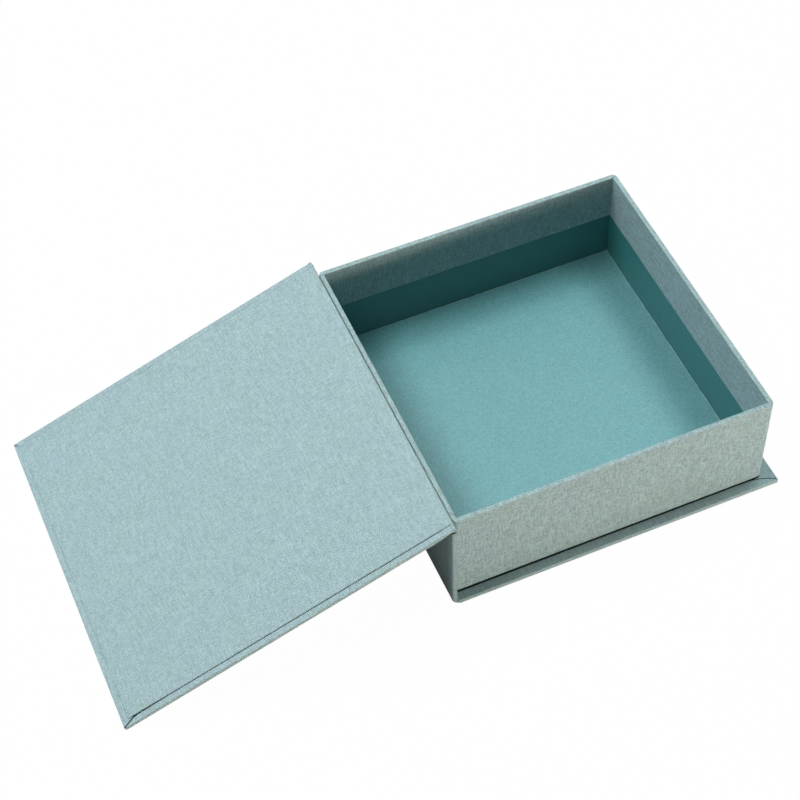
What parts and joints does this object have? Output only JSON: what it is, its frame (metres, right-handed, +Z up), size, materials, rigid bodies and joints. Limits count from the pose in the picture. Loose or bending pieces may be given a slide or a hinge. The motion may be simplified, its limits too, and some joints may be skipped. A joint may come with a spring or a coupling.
{
  "type": "hinged-lid keepsake box",
  "caption": "Square cloth-covered storage tray on a bookbinder's case, with a paper lining and a full lid on a cloth hinge, shown open.",
  "frame": {"origin": "on the underside of the base, in the plane the box stands on, at the middle of the closed case seen from above", "axes": "+X from the spine and hinge to the fore edge of the base, +Y to the back, +Z up"},
  "size_m": [0.4218, 0.2192, 0.0796],
  "materials": {
    "book_cloth": "fine matt linen weave, grey-blue",
    "lining_paper": "matt uncoated paper, teal",
    "plain_paper": "matt uncoated paper, off-white",
    "board": "grey binder's board, matt"
  },
  "bodies": {
    "case": {"base_cloth": "book_cloth", "base_board": "board", "base_infill": "plain_paper", "spine_cloth": "book_cloth", "spine_board": "board", "spine_infill": "plain_paper", "spine_liner": "book_cloth", "front_wall_board": "board", "back_wall_board": "board", "spine_wall_board": "board", "fore_wall_board": "board", "tray_cloth": "book_cloth", "tray_riser_card": "board", "tray_underlay": "plain_paper", "tray_floor_board": "board", "floor_card": "board", "floor_lining": "lining_paper", "front_wall_lining": "lining_paper", "back_wall_lining": "lining_paper", "spine_wall_lining": "lining_paper", "fore_wall_lining": "lining_paper", "hinge_cloth": "book_cloth"},
    "lid": {"lid_cloth": "book_cloth", "lid_board": "board", "lid_infill": "plain_paper", "lid_liner": "book_cloth"}
  },
  "joints": [
    {"name": "lid_hinge", "type": "hinge", "parent": "case", "child": "lid", "pos_m": [-0.1083, 0, 0.07735], "axis": [0, 1, 0], "range_deg": [0, 200.47], "deforming": ["hinge_cloth"]}
  ]
}
